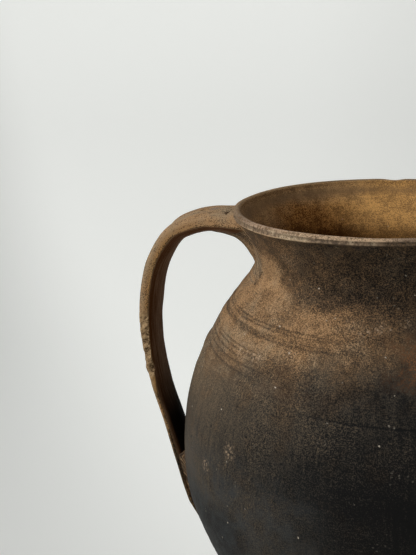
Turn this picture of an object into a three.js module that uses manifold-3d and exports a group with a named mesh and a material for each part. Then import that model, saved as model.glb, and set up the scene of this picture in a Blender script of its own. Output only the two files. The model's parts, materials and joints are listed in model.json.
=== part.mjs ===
// Wide-mouthed earthenware jug with one strap handle.
// Four pieces, as the potter joins them: the thrown body, the pulled strap, and the clay
// luted under the strap at the neck and round its tail on the belly.
// Millimetres, +Z up. The origin is the centre of the underside, and the handle points to -X.
import * as THREE from "three";
import { mergeVertices } from "three/addons/utils/BufferGeometryUtils.js";
import Module from "manifold-3d";

const wasm = await Module();
wasm.setup();

// Thrown body: heights are from the underside, drops are down from the rim's crest.
const HEIGHT = 280;
const BASE_RADIUS = 58;
const BASE_EDGE = 3;
const BELLY_RADIUS = 113;
const BELLY_HEIGHT = 143;
const NECK_RADIUS = 70.4;
const NECK_DROP = 27.5;
const RIM_RADIUS = 81.4;
const RIM_BAND_HEIGHT = 4.8;
const RIM_UNDERCUT = 2.2;
const LIP_WIDTH = 4;
const LIP_CROWN = 1.6;
const THROAT_FLARE = 3;
const WALL = 6.2;
const FLOOR_THICKNESS = 9;
const FLOOR_CORNER = 9;

// How finely the curves of the body are stepped.
const AROUND = 56;
const LOWER_WALL_STEPS = 11;
const UPPER_WALL_STEPS = 17;
const NECK_STEPS = 5;
const LIP_STEPS = 6;
const FLOOR_CORNER_STEPS = 3;

// How the wall bulges: lengths of the tangents at the base, the belly and the neck.
const BASE_TANGENT = 104;
const BASE_LEAN = 0.47;
const BELLY_TANGENT_DOWN = 27;
const BELLY_TANGENT_UP = 70;
const NECK_TANGENT_DOWN = 16;
const NECK_TANGENT_UP = 10;

// The two lines cut round the shoulder with a pointed tool.
const LINE_DROPS = [48.7, 52.9];
const LINE_WIDTH = 1.8;
const LINE_DEPTH = 0.8;
const LINE_SEARCH_STEPS = 2000;

// Strap: where its middle runs, as distance out from the axis and drop from the rim's crest.
const STRAP_ROUTE = [
  [66, 11],
  [82, 8.8],
  [96, 8.2],
  [110, 13],
  [120, 21.8],
  [128.6, 40],
  [132.4, 68],
  [129.4, 101],
  [122, 128],
  [116.4, 149],
  [110.8, 170],
  [103.4, 189],
  [97, 203],
];
const STRAP_STATIONS = 44;
// Thickness and width along the strap, at even steps from the rim to the tail.
const STRAP_THICKNESS = [11, 10.4, 9.8, 8.8, 7, 6.2, 7.4, 8, 3];
const STRAP_WIDTH = [40, 33, 30, 30, 30, 29, 30, 32, 22];

// Clay wad thumbed into the corner under the strap: distance out and drop, as for the strap.
const WAD_CORNER = [67, 8];
const WAD_HOLLOW = [
  [101, 11.5],
  [85, 12.5],
  [74.5, 16.5],
  [69.6, 33.5],
];
const WAD_STATIONS = 12;
const WAD_WIDTH = [27, 30, 33];

// Clay smeared round the tail on the belly.
const SMEAR_OUT = 104.5;
const SMEAR_DROP = 171;
const SMEAR_HALF = { thick: 9, wide: 25, long: 42 };
const SMEAR_TILT = THREE.MathUtils.degToRad(17);
const SMEAR_STEPS = { around: 24, down: 16 };

// Cross-sections of the strap and the wad.
const RING_POINTS = 18;
const RING_SQUARENESS = 3.2;

// Luted pieces stand this far off what they sit on.
const SEAT_GAP = 0.3;

// Vertices closer than this are one vertex.
const MERGE_WITHIN = 1e-3;

const at = (radius, height) => new THREE.Vector2(radius, height);

function wallCurves(inset, baseHeight) {
  const foot = BASE_RADIUS - inset;
  const belly = BELLY_RADIUS - inset;
  const neck = NECK_RADIUS - inset;
  const neckHeight = HEIGHT - NECK_DROP;
  const lower = new THREE.CubicBezierCurve(
    at(foot + BASE_LEAN * baseHeight, baseHeight),
    at(foot + BASE_LEAN * BASE_TANGENT, BASE_TANGENT),
    at(belly, BELLY_HEIGHT - BELLY_TANGENT_DOWN),
    at(belly, BELLY_HEIGHT),
  );
  const upper = new THREE.CubicBezierCurve(
    at(belly, BELLY_HEIGHT),
    at(belly, BELLY_HEIGHT + BELLY_TANGENT_UP),
    at(neck, neckHeight - NECK_TANGENT_DOWN),
    at(neck, neckHeight),
  );
  return { lower, upper };
}

// The wall from belly to neck, with a V-shaped notch in place of the points at each incised line.
function incisedWall(curve) {
  const fine = curve.getPoints(LINE_SEARCH_STEPS);
  const onWall = (height) => fine.find((point) => point.y >= height).clone();
  let points = curve.getPoints(UPPER_WALL_STEPS).slice(1);
  for (const drop of LINE_DROPS) {
    const height = HEIGHT - drop;
    const below = onWall(height - LINE_WIDTH / 2);
    const bottom = onWall(height);
    const above = onWall(height + LINE_WIDTH / 2);
    bottom.x -= LINE_DEPTH;
    points = points.filter((point) => Math.abs(point.y - height) > LINE_WIDTH);
    points.push(below, bottom, above);
  }
  return points.sort((a, b) => a.y - b.y);
}

// The outside of the body, from the underside's edge up over the lip to its inner edge.
function outsideProfile() {
  const { lower, upper } = wallCurves(0, BASE_EDGE);
  const neckHeight = HEIGHT - NECK_DROP;
  const bandFoot = HEIGHT - RIM_BAND_HEIGHT;
  const flare = new THREE.CubicBezierCurve(
    at(NECK_RADIUS, neckHeight),
    at(NECK_RADIUS, neckHeight + NECK_TANGENT_UP),
    at(RIM_RADIUS - 2 * RIM_UNDERCUT, bandFoot - 2 * RIM_UNDERCUT),
    at(RIM_RADIUS - RIM_UNDERCUT, bandFoot - RIM_UNDERCUT / 2),
  );
  const lip = new THREE.EllipseCurve(
    RIM_RADIUS - LIP_WIDTH / 2,
    HEIGHT - LIP_CROWN,
    LIP_WIDTH / 2,
    LIP_CROWN,
    0,
    Math.PI,
  );
  return [
    at(BASE_RADIUS - BASE_EDGE, 0),
    ...lower.getPoints(LOWER_WALL_STEPS),
    ...incisedWall(upper),
    ...flare.getPoints(NECK_STEPS).slice(1),
    at(RIM_RADIUS, bandFoot),
    ...lip.getPoints(LIP_STEPS),
  ];
}

// The inside of the body, from the lip's inner edge down to the edge of the flat floor.
function insideProfile() {
  const { lower, upper } = wallCurves(WALL, FLOOR_THICKNESS + FLOOR_CORNER);
  const lipInside = RIM_RADIUS - LIP_WIDTH;
  const throat = new THREE.CubicBezierCurve(
    at(lipInside, HEIGHT - LIP_CROWN),
    at(lipInside - THROAT_FLARE, HEIGHT - NECK_DROP / 3),
    at(NECK_RADIUS - WALL, HEIGHT - NECK_DROP + NECK_TANGENT_UP),
    at(NECK_RADIUS - WALL, HEIGHT - NECK_DROP),
  );
  const corner = lower.getPoint(0);
  const floor = new THREE.QuadraticBezierCurve(
    corner,
    at(corner.x - BASE_LEAN * FLOOR_CORNER, FLOOR_THICKNESS),
    at(corner.x - 2 * FLOOR_CORNER, FLOOR_THICKNESS),
  );
  return [
    ...throat.getPoints(NECK_STEPS).slice(1),
    ...upper.getPoints(UPPER_WALL_STEPS).reverse().slice(1),
    ...lower.getPoints(LOWER_WALL_STEPS).reverse().slice(1),
    ...floor.getPoints(FLOOR_CORNER_STEPS).slice(1),
  ];
}

function revolve(points) {
  return new THREE.LatheGeometry(points, AROUND).rotateX(Math.PI / 2);
}

function bodyGeometry() {
  return revolve([at(0, 0), ...outsideProfile(), ...insideProfile(), at(0, FLOOR_THICKNESS)]);
}

// The body filled in and grown by the seat gap, to cut the pieces that are luted on.
function bodySeat() {
  const grown = outsideProfile().map((point) => at(point.x + SEAT_GAP, point.y));
  return revolve([at(0, 0), ...grown, at(0, HEIGHT - LIP_CROWN)]);
}

// A value read off a list of even steps, at a share from 0 to 1 along it.
function along(list, share) {
  const place = share * (list.length - 1);
  const step = Math.min(Math.floor(place), list.length - 2);
  return THREE.MathUtils.lerp(list[step], list[step + 1], place - step);
}

const signedPower = (value, power) => Math.sign(value) * Math.abs(value) ** power;

// Joins rings of equal length into one closed skin, with a fan over each end.
function loft(rings) {
  const count = rings[0].length;
  const triangles = [];
  const positions = rings.flat().flatMap((point) => point.toArray());
  const middle = (ring) =>
    ring.reduce((sum, point) => sum.add(point), new THREE.Vector3()).divideScalar(count);
  const first = rings.length * count;
  positions.push(...middle(rings[0]).toArray(), ...middle(rings[rings.length - 1]).toArray());
  for (let i = 0; i < count; i++) {
    const next = (i + 1) % count;
    for (let ring = 0; ring < rings.length - 1; ring++) {
      const here = ring * count;
      const there = here + count;
      triangles.push(here + i, there + i, there + next, here + i, there + next, here + next);
    }
    triangles.push(first, i, next);
    triangles.push(first + 1, first - count + next, first - count + i);
  }
  return new THREE.BufferGeometry()
    .setAttribute("position", new THREE.Float32BufferAttribute(positions, 3))
    .setIndex(triangles);
}

// A rounded oblong ring: half its depth is the rise vector, and half its width lies along Y.
function roundedRing(centre, rise, halfWide) {
  const across = new THREE.Vector3(0, 1, 0);
  const ring = [];
  for (let i = 0; i < RING_POINTS; i++) {
    const angle = (2 * Math.PI * i) / RING_POINTS;
    const side = halfWide * signedPower(Math.cos(angle), 2 / RING_SQUARENESS);
    const height = signedPower(Math.sin(angle), 2 / RING_SQUARENESS);
    ring.push(centre.clone().addScaledVector(across, side).addScaledVector(rise, height));
  }
  return ring;
}

const onHandleSide = ([out, drop]) => new THREE.Vector3(-out, 0, HEIGHT - drop);

// The strap before it is cut to its seat, grown on every side by the given amount.
function strapGeometry(grow) {
  const middle = new THREE.CatmullRomCurve3(STRAP_ROUTE.map(onHandleSide), false, "centripetal");
  const rings = [];
  for (let station = 0; station <= STRAP_STATIONS; station++) {
    const share = station / STRAP_STATIONS;
    const outward = new THREE.Vector3(0, 1, 0).cross(middle.getTangentAt(share));
    const rise = outward.multiplyScalar(along(STRAP_THICKNESS, share) / 2 + grow);
    rings.push(roundedRing(middle.getPointAt(share), rise, along(STRAP_WIDTH, share) / 2 + grow));
  }
  return loft(rings);
}

// The wad before it is cut: it fans round the corner between neck and strap, out to a hollow thumbed curve.
function wadGeometry() {
  const corner = onHandleSide(WAD_CORNER);
  const hollow = new THREE.CubicBezierCurve3(...WAD_HOLLOW.map(onHandleSide));
  const rings = [];
  for (let station = 0; station <= WAD_STATIONS; station++) {
    const share = station / WAD_STATIONS;
    const reach = hollow.getPoint(share).sub(corner).divideScalar(2);
    const centre = corner.clone().add(reach);
    rings.push(roundedRing(centre, reach, along(WAD_WIDTH, share) / 2));
  }
  return loft(rings);
}

// The smear before it is cut: a flat egg of clay that lies along the belly.
function smearGeometry() {
  const smear = new THREE.SphereGeometry(1, SMEAR_STEPS.around, SMEAR_STEPS.down);
  smear.scale(SMEAR_HALF.thick, SMEAR_HALF.wide, SMEAR_HALF.long);
  smear.rotateY(-SMEAR_TILT);
  return smear.translate(-SMEAR_OUT, 0, HEIGHT - SMEAR_DROP);
}

function solid(geometry) {
  const bare = geometry.clone();
  bare.deleteAttribute("normal");
  bare.deleteAttribute("uv");
  const merged = mergeVertices(bare, MERGE_WITHIN);
  const vertProperties = merged.attributes.position.array;
  const triVerts = new Uint32Array(merged.index.array);
  return new wasm.Manifold(new wasm.Mesh({ numProp: 3, vertProperties, triVerts }));
}

function geometryOf(shape) {
  const mesh = shape.getMesh();
  const geometry = new THREE.BufferGeometry();
  geometry.setAttribute("position", new THREE.BufferAttribute(mesh.vertProperties, 3));
  geometry.setIndex(new THREE.BufferAttribute(mesh.triVerts, 1));
  geometry.computeVertexNormals();
  return geometry;
}

const clay = (color, roughness) => new THREE.MeshStandardMaterial({ color, roughness, metalness: 0 });

function piece(name, geometry, material) {
  const mesh = new THREE.Mesh(geometry, material);
  mesh.name = name;
  return mesh;
}

const seat = solid(bodySeat());
const strapSeat = solid(strapGeometry(SEAT_GAP));
const strap = solid(strapGeometry(0)).subtract(seat);
const wad = solid(wadGeometry()).subtract(seat).subtract(strapSeat);
const smear = solid(smearGeometry()).subtract(seat).subtract(strapSeat);

const jug = new THREE.Group();
jug.add(piece("thrown_body", bodyGeometry(), clay(0x3a3029, 0.72)));
jug.add(piece("strap_handle", geometryOf(strap), clay(0x6b5238, 0.68)));
jug.add(piece("upper_luting", geometryOf(wad), clay(0x64503a, 0.75)));
jug.add(piece("lower_luting", geometryOf(smear), clay(0x4a3a2b, 0.75)));

export default jug;
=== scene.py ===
# %% [markdown]
# The jug is a wide-mouthed earthenware pot with one strap handle, blackened by smoke on one side and
# worn back to tan clay on the other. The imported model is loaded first. It is the fixed frame: its
# solids give the sizes and places, and every piece made here stands exactly where one of them does.

# %% Load the frame and read its sizes
import json
import math
from contextlib import contextmanager

import bpy
import numpy as np
from mathutils import Matrix, Vector

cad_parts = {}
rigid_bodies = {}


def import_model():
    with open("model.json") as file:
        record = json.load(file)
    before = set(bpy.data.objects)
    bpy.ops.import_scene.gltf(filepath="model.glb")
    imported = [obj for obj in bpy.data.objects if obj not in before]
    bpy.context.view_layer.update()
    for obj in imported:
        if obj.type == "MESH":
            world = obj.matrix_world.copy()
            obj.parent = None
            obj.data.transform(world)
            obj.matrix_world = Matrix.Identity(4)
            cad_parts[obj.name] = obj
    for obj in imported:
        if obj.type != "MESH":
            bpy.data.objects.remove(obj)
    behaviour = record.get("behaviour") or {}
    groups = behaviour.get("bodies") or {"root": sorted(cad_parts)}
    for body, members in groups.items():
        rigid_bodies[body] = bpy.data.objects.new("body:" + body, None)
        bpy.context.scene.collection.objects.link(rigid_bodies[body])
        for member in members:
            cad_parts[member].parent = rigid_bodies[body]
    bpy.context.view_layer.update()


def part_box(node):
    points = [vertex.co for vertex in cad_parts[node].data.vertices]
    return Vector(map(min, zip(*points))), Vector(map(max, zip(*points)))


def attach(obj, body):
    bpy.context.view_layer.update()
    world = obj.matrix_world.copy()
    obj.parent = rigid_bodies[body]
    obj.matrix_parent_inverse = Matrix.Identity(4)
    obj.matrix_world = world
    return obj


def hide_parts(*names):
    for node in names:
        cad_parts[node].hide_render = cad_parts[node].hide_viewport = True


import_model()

mm = 0.001
body_low, body_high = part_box("thrown_body")
HEIGHT = body_high.z - body_low.z
BELLY_RADIUS = body_high.x
print(f"the jug stands {HEIGHT / mm:.0f} mm high and its belly is {2 * BELLY_RADIUS / mm:.0f} mm across")

# %% [markdown]
# The camera stands close to the jug and a little above its rim, looks down and slightly to the left,
# and leans by two degrees, so the body runs out of the picture at the right and at the bottom.
# A lens is set by its angle of view, so the focal length is worked out from the picture's long side.

# %% Camera
PICTURE_LONG_SIDE = 555
FOCAL_PIXELS = 851
CAMERA_PLACE = Vector((0, -448.96 * mm, 367.6 * mm))
CAMERA_YAW = math.radians(-12.35)
CAMERA_PITCH_DOWN = math.radians(15.76)
CAMERA_ROLL = math.radians(-2.34)

bpy.ops.object.select_all(action="DESELECT")
bpy.ops.object.camera_add()
camera = bpy.context.object
camera.data.lens = camera.data.sensor_width * FOCAL_PIXELS / PICTURE_LONG_SIDE
turn = Matrix.Rotation(-CAMERA_YAW, 4, "Z")
tilt = Matrix.Rotation(math.pi / 2 - CAMERA_PITCH_DOWN, 4, "X")
lean = Matrix.Rotation(CAMERA_ROLL, 4, "Z")
camera.matrix_world = Matrix.Translation(CAMERA_PLACE) @ turn @ tilt @ lean
bpy.context.scene.camera = camera
print(f"lens {camera.data.lens:.1f} mm at {[round(c, 3) for c in CAMERA_PLACE]}")

# %% [markdown]
# The body was thrown on a wheel, so its surface is one outline turned about an axis. It could be a
# subdivided cylinder, but an outline drawn point by point and spun is closer to what the wheel does,
# and it lets the points lie close together where the incised lines need them. The outline runs from
# the middle of the underside up the outer wall, over the lip and down the inside to the floor.

# %% Helpers: begin a piece with nothing else selected, edit its mesh, and read or move all of its points
def begin(name, add, **sizes):
    bpy.ops.object.select_all(action="DESELECT")
    add(**sizes)
    piece = bpy.context.object
    piece.name = name
    piece.data.name = name
    return piece


@contextmanager
def editing(piece, kind="VERT", wanted=None):
    """Edit mode, with the whole piece selected or only its wanted edges or faces."""
    bpy.ops.object.mode_set(mode="EDIT")
    bpy.ops.mesh.select_mode(type=kind)
    bpy.ops.mesh.select_all(action="DESELECT" if wanted else "SELECT")
    if wanted:
        bpy.ops.object.mode_set(mode="OBJECT")
        for part in piece.data.edges if kind == "EDGE" else piece.data.polygons:
            part.select = wanted(part)
        bpy.ops.object.mode_set(mode="EDIT")
    yield
    bpy.ops.object.mode_set(mode="OBJECT")


def points_of(piece):
    flat = np.empty(3 * len(piece.data.vertices))
    piece.data.vertices.foreach_get("co", flat)
    return flat.reshape(-1, 3)


def move_points(piece, points):
    piece.data.vertices.foreach_set("co", points.ravel())
    piece.data.update()


# %% Helpers: a curve from four points, and the run of a curve up to each of its points
def bezier(start, first_handle, second_handle, end, count):
    share = np.linspace(0, 1, count)[:, None]
    left = 1 - share
    ends = left**3 * np.array(start) + share**3 * np.array(end)
    handles = left**2 * share * np.array(first_handle) + left * share**2 * np.array(second_handle)
    return ends + 3 * handles


def run_of(curve, power=1):
    steps = np.linalg.norm(np.diff(curve, axis=0), axis=1) ** power
    return np.concatenate([[0], np.cumsum(steps)])


# %% The wall's sizes: the solid's driving sizes, but for a slightly lower band under the lip
BASE_RADIUS = 58 * mm
BASE_EDGE = 3 * mm
BELLY_HEIGHT = 143 * mm
NECK_RADIUS = 70.4 * mm
NECK_HEIGHT = HEIGHT - 27.5 * mm
RIM_RADIUS = 81.4 * mm
RIM_BAND_HEIGHT = 3.3 * mm
RIM_UNDERCUT = 2.2 * mm
LIP_WIDTH = 4 * mm
LIP_CROWN = 1.6 * mm
WALL = 6.2 * mm
FLOOR_THICKNESS = 9 * mm
FLOOR_CORNER = 9 * mm
BASE_LEAN = 0.47
BASE_TANGENT = 104 * mm
BELLY_TANGENT_DOWN = 27 * mm
BELLY_TANGENT_UP = 70 * mm
NECK_TANGENT_DOWN = 16 * mm
NECK_TANGENT_UP = 10 * mm
BAND_FOOT = HEIGHT - RIM_BAND_HEIGHT
print(f"the neck is {2 * NECK_RADIUS / mm:.0f} mm across and the rim {2 * RIM_RADIUS / mm:.0f} mm")

# %% The wall's curves: from base to belly, from belly to neck, and the flare up to the rim
WALL_POINTS = 1500
FLARE_POINTS = 18


def wall(inset, base_height):
    foot = BASE_RADIUS - inset
    belly = BELLY_RADIUS - inset
    neck = NECK_RADIUS - inset
    lower = bezier(
        (foot + BASE_LEAN * base_height, base_height),
        (foot + BASE_LEAN * BASE_TANGENT, BASE_TANGENT),
        (belly, BELLY_HEIGHT - BELLY_TANGENT_DOWN),
        (belly, BELLY_HEIGHT),
        WALL_POINTS,
    )
    upper = bezier(
        (belly, BELLY_HEIGHT),
        (belly, BELLY_HEIGHT + BELLY_TANGENT_UP),
        (neck, NECK_HEIGHT - NECK_TANGENT_DOWN),
        (neck, NECK_HEIGHT),
        WALL_POINTS,
    )
    return np.vstack([lower, upper[1:]])


def at_heights(curve, heights):
    return np.column_stack([np.interp(heights, curve[:, 1], curve[:, 0]), heights])


flare = bezier(
    (NECK_RADIUS, NECK_HEIGHT),
    (NECK_RADIUS, NECK_HEIGHT + NECK_TANGENT_UP),
    (RIM_RADIUS - 2 * RIM_UNDERCUT, BAND_FOOT - 2 * RIM_UNDERCUT),
    (RIM_RADIUS - RIM_UNDERCUT, BAND_FOOT - RIM_UNDERCUT / 2),
    FLARE_POINTS,
)
outer_wall = wall(0, BASE_EDGE)
skin = np.vstack([outer_wall, flare[1:], [(RIM_RADIUS, BAND_FOOT), (RIM_RADIUS, HEIGHT)]])


def skin_radius(height):
    return np.interp(height, skin[:, 1], skin[:, 0])


print(f"an outer wall of {len(outer_wall)} points, to be thinned")

# %% The outline's outside, close-set where the lines are cut and plain elsewhere
# Drop below the rim, and the step between points from there to the next drop, in millimetres.
CUT_ZONE = [(95, 2.4), (82, 0.5), (58, 0.4), (54.6, 0.24), (47, 0.24), (44, 0.6)]
BELOW_POINTS = 66
ABOVE_POINTS = 14


def cut_zone_heights():
    heights = []
    for (start, step), (end, _) in zip(CUT_ZONE, CUT_ZONE[1:]):
        count = max(2, round((start - end) / step))
        heights += list(HEIGHT - np.linspace(start, end, count, endpoint=False) * mm)
    return heights


def outside_outline():
    lowest_cut = HEIGHT - CUT_ZONE[0][0] * mm
    highest_cut = HEIGHT - CUT_ZONE[-1][0] * mm
    below = np.linspace(BASE_EDGE, lowest_cut, BELOW_POINTS, endpoint=False)
    above = np.linspace(highest_cut, NECK_HEIGHT, ABOVE_POINTS)
    side = at_heights(outer_wall, np.concatenate([below, cut_zone_heights(), above]))
    return np.vstack([[(0, 0), (BASE_RADIUS - BASE_EDGE, 0)], side, flare[1:]])


print(f"{len(cut_zone_heights())} heights where the lines are cut")

# %% The outline's lip and inside, and all of it in one chain of points
ARRIS = 0.35 * mm
# Steps up the rim's band, and how many millimetres hollow the band is there.
BAND_HOLLOW = [(1, 0), (2, 0.08), (4, 0.18), (6, 0.24), (8, 0.2), (9, 0.1)]
BAND_STEPS = 9.5
BEAD_POINTS = 19
THROAT_POINTS = 16
THROAT_LEAN = 3 * mm
INSIDE_POINTS = 62
CORNER_POINTS = 6


def lip_outline():
    step = (RIM_BAND_HEIGHT - LIP_CROWN) / BAND_STEPS
    band = [(RIM_RADIUS - hollow * mm, BAND_FOOT + steps * step) for steps, hollow in BAND_HOLLOW]
    turn_over = np.linspace(0, math.pi, BEAD_POINTS)
    bead_out = RIM_RADIUS - LIP_WIDTH / 2 * (1 - np.cos(turn_over))
    bead_up = HEIGHT - LIP_CROWN * (1 - np.sin(turn_over))
    bead = np.column_stack([bead_out, bead_up])
    return np.vstack([[(RIM_RADIUS - ARRIS, BAND_FOOT - ARRIS / 2)], band, bead])


def inside_outline():
    corner_height = FLOOR_THICKNESS + FLOOR_CORNER
    lip_inside = RIM_RADIUS - LIP_WIDTH
    throat = bezier(
        (lip_inside, HEIGHT - LIP_CROWN),
        (lip_inside - THROAT_LEAN, HEIGHT - (HEIGHT - NECK_HEIGHT) / 3),
        (NECK_RADIUS - WALL, NECK_HEIGHT + NECK_TANGENT_UP),
        (NECK_RADIUS - WALL, NECK_HEIGHT),
        THROAT_POINTS,
    )
    side = at_heights(wall(WALL, corner_height), np.linspace(NECK_HEIGHT, corner_height, INSIDE_POINTS))
    corner = side[-1]
    floor_edge = (corner[0] - BASE_LEAN * FLOOR_CORNER, FLOOR_THICKNESS)
    floor_flat = (corner[0] - 2 * FLOOR_CORNER, FLOOR_THICKNESS)
    turn_in = bezier(corner, floor_edge, floor_edge, floor_flat, CORNER_POINTS)
    return np.vstack([throat[1:], side[1:], turn_in[1:], [(0, FLOOR_THICKNESS)]])


outline = np.vstack([outside_outline(), lip_outline(), inside_outline()])
print(f"the outline has {len(outline)} points")

# %% Draw the outline by extruding one vertex, then spin it into the body
AROUND = 256
SAME_POINT = 0.01 * mm


def draw_outline(name, chain):
    piece = begin(name, bpy.ops.mesh.primitive_plane_add, size=mm)
    with editing(piece):
        bpy.ops.mesh.merge(type="CENTER")
        bpy.ops.transform.translate(value=(chain[0][0], 0, chain[0][1]))
        for out, up in np.diff(chain, axis=0):
            bpy.ops.mesh.extrude_region_move(TRANSFORM_OT_translate={"value": (out, 0, up)})
    return piece


body = draw_outline("jug_body", outline)
with editing(body):
    bpy.ops.mesh.spin(steps=AROUND, angle=2 * math.pi, center=(0, 0, 0), axis=(0, 0, 1))
    bpy.ops.mesh.select_all(action="SELECT")
    bpy.ops.mesh.remove_doubles(threshold=SAME_POINT)
    bpy.ops.mesh.normals_make_consistent(inside=False)
bpy.ops.object.shade_smooth()
print(f"body: {len(body.data.vertices)} vertices, {len(body.data.polygons)} faces")

# %% [markdown]
# A wheel leaves marks: lines pressed round the shoulder in two sets, one slack line lower down and soft
# ridges from the fingers. They could be painted as bump, but the outline and the shading follow real
# hollows best, so every point of the wall is moved in or out.
# The lines are deepest towards the handle and rubbed nearly flat on the front of the belly.

# %% Where each point of the body lies, and helpers that fade a mark out
def ease(value, low, high):
    """0 at low and 1 at high, which may lie either way round, with a soft start and end."""
    share = np.clip((value - low) / (high - low), 0, 1)
    return share * share * (3 - 2 * share)


def stretch(value, start, full, still_full, end):
    """1 from full to still_full, easing to 0 at the start and at the end."""
    return ease(value, start, full) * ease(value, end, still_full)


def notch(value, middle, width):
    return np.clip(1 - np.abs(value - middle) / (width / 2), 0, 1)


def through(stops, value):
    """A soft curve through the stops, level at each of them."""
    at, height = np.array(stops).T
    i = np.clip(np.searchsorted(at, value) - 1, 0, len(at) - 2)
    return height[i] + (height[i + 1] - height[i]) * ease(value, at[i], at[i + 1])


spots = points_of(body)
out = np.hypot(spots[:, 0], spots[:, 1])
azimuth = np.arctan2(spots[:, 1], spots[:, 0])
drop = (HEIGHT - spots[:, 2]) / mm
on_outside = (out > skin_radius(spots[:, 2]) - WALL / 2) & (drop > RIM_BAND_HEIGHT / mm)
ring_key = np.round(np.column_stack([out, spots[:, 2]]) / SAME_POINT)
rings, ring_of = np.unique(ring_key, axis=0, return_inverse=True)
nearest = [np.argmin(np.linalg.norm(outline - ring * SAME_POINT, axis=1)) for ring in rings]
up_wall = run_of(outline)[nearest][ring_of.ravel()]


def cos_of(degrees):
    return math.cos(math.radians(degrees))


def facing(degrees, far, near):
    """1 within near degrees of the given side, easing to 0 at far degrees."""
    return ease(np.cos(azimuth - math.radians(degrees)), cos_of(far), cos_of(near))


print(f"{len(rings)} rings of points, {int(on_outside.sum())} points on the outside")

# %% Cut the lines and the finger ridges into the wall
# Drop below the rim, width and depth of each line, and for the slack one its tilt, in millimetres.
UPPER_LINES = [(48.0, 1.4, 0.34), (49.5, 1.4, 0.3), (52.0, 1.7, 0.3), (53.1, 1.7, 0.34), (53.8, 1.5, 0.28)]
LOWER_LINES = [(60.4, 1.2, 0.32), (62.4, 1.2, 0.3), (64.9, 1.2, 0.3), (67.6, 1.3, 0.28), (71.2, 1.4, 0.27)]
SLACK_LINE = (82.5, 1.2, 0.3, 4.0)
# The sides that the lines face, in degrees round the axis from +X.
UPPER_SIDE = 205
LOWER_SIDE = 192
SLACK_SIDE = 282
SLACK_HIGH_SIDE = 215
SHADED_SIDE = 200
SHADED_DEPTH = 0.3
# Drop below the rim, and how far the wall swells there, in millimetres.
WALL_FORM = [
    (38, -0.1), (45, 0.4), (52, 0.55), (58, 0.4), (63, -0.1), (67, -0.45),
    (72.5, -0.8), (75, 0.1), (77, 0.1), (79.5, -0.4), (86, -0.4), (91, 0),
]
NECK_CREASE = (30.3, 8)
NECK_CREASE_DEPTH = 0.7
RIDGE_PITCH = 7.6
FINE_RIDGE_PITCH = 3.1


def line_cut(at, width, depth, tilt=0):
    middle = at - tilt * np.cos(azimuth - math.radians(SLACK_HIGH_SIDE))
    wander = 0.1 * np.sin(2 * azimuth + at) + 0.06 * np.sin(5 * azimuth + 3 * at)
    strength = 0.75 + 0.2 * np.sin(9 * azimuth + 2 * at) * np.sin(4 * azimuth + at)
    return depth * strength * notch(drop + wander, middle, width)


upper_clear = 0.25 + 0.75 * facing(UPPER_SIDE, 66, 32)
lower_clear = 0.08 + 0.92 * facing(LOWER_SIDE, 52, 22)
cut = sum(line_cut(*line) for line in UPPER_LINES) * upper_clear
cut += sum(line_cut(*line) for line in LOWER_LINES) * lower_clear
slack_cut = line_cut(*SLACK_LINE) * facing(SLACK_SIDE, 42, 18)
# The cut lines are also painted darker in colour. This is painted shade, strongest towards the handle side.
line_shade = np.clip(cut / SHADED_DEPTH, 0, 1) * (0.55 + 0.45 * facing(SHADED_SIDE, 40, 18))
line_shade = np.maximum(line_shade, np.clip(slack_cut / SHADED_DEPTH, 0, 1))
crease = notch(drop, *NECK_CREASE) ** 2 * facing(LOWER_SIDE, 40, 20)
cut += slack_cut - through(WALL_FORM, drop) * upper_clear + NECK_CREASE_DEPTH * crease

ridge_size = 0.05 + 0.04 * np.sin(drop / 31 + 1.3)
ridges = ridge_size * np.sin(2 * math.pi * drop / RIDGE_PITCH + azimuth)
ridges += 0.03 * np.sin(2 * math.pi * drop / FINE_RIDGE_PITCH + 2 * azimuth)
push = (ridges * ease(drop, 20, 40) - cut) * on_outside * mm
spots[:, :2] *= ((out + push) / np.maximum(out, mm))[:, None]
print(f"lines cut up to {cut.max():.2f} mm deep")

# %% Chip the rim and let it dip a little, as a worn rim does
# Azimuth in degrees, then drop below the rim, size and depth in millimetres.
RIM_CHIPS = [
    (233, 3.0, 1.6, 0.8), (236, 2.8, 2.0, 1.0), (239, 3.1, 1.8, 0.9), (242.5, 2.8, 1.4, 0.7),
    (229, 1.2, 1.3, 0.5), (259, 1.9, 0.8, 0.3), (265.5, 2.0, 0.8, 0.3), (216, 3.1, 1.3, 0.5),
    (88.5, 0.2, 4.2, 0.9), (86, 0.2, 3.0, 0.7), (33, 3.0, 2.2, 0.9), (330, 1.0, 2.4, 0.8),
    (301, 3.0, 1.7, 0.8), (128, 3.1, 1.9, 0.8),
]
# Azimuth in degrees, and how far the rim stands above its level there, in millimetres.
RIM_LEVELS = [
    (0, -0.2), (60, -0.15), (90, -0.05), (120, 0.25), (160, 0),
    (176, 0.3), (190, 0.1), (216, -0.3), (250, 0.05), (276, 0.2),
]
DEEPER_BAND_SIDE = 208
DEEPER_BAND = 0.6 * mm
LIP_MIDDLE = RIM_RADIUS - LIP_WIDTH / 2
RIM_CORE_HEIGHT = BAND_FOOT + 0.5 * mm


def on_ring(radius, degrees, height):
    angle = math.radians(degrees)
    return np.array([radius * math.cos(angle), radius * math.sin(angle), height])


def nearness(centre, size):
    """1 at the centre of a mark, fading out at about twice its size."""
    return np.exp(-((np.linalg.norm(spots - centre, axis=1) / (size * mm)) ** 2))


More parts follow.
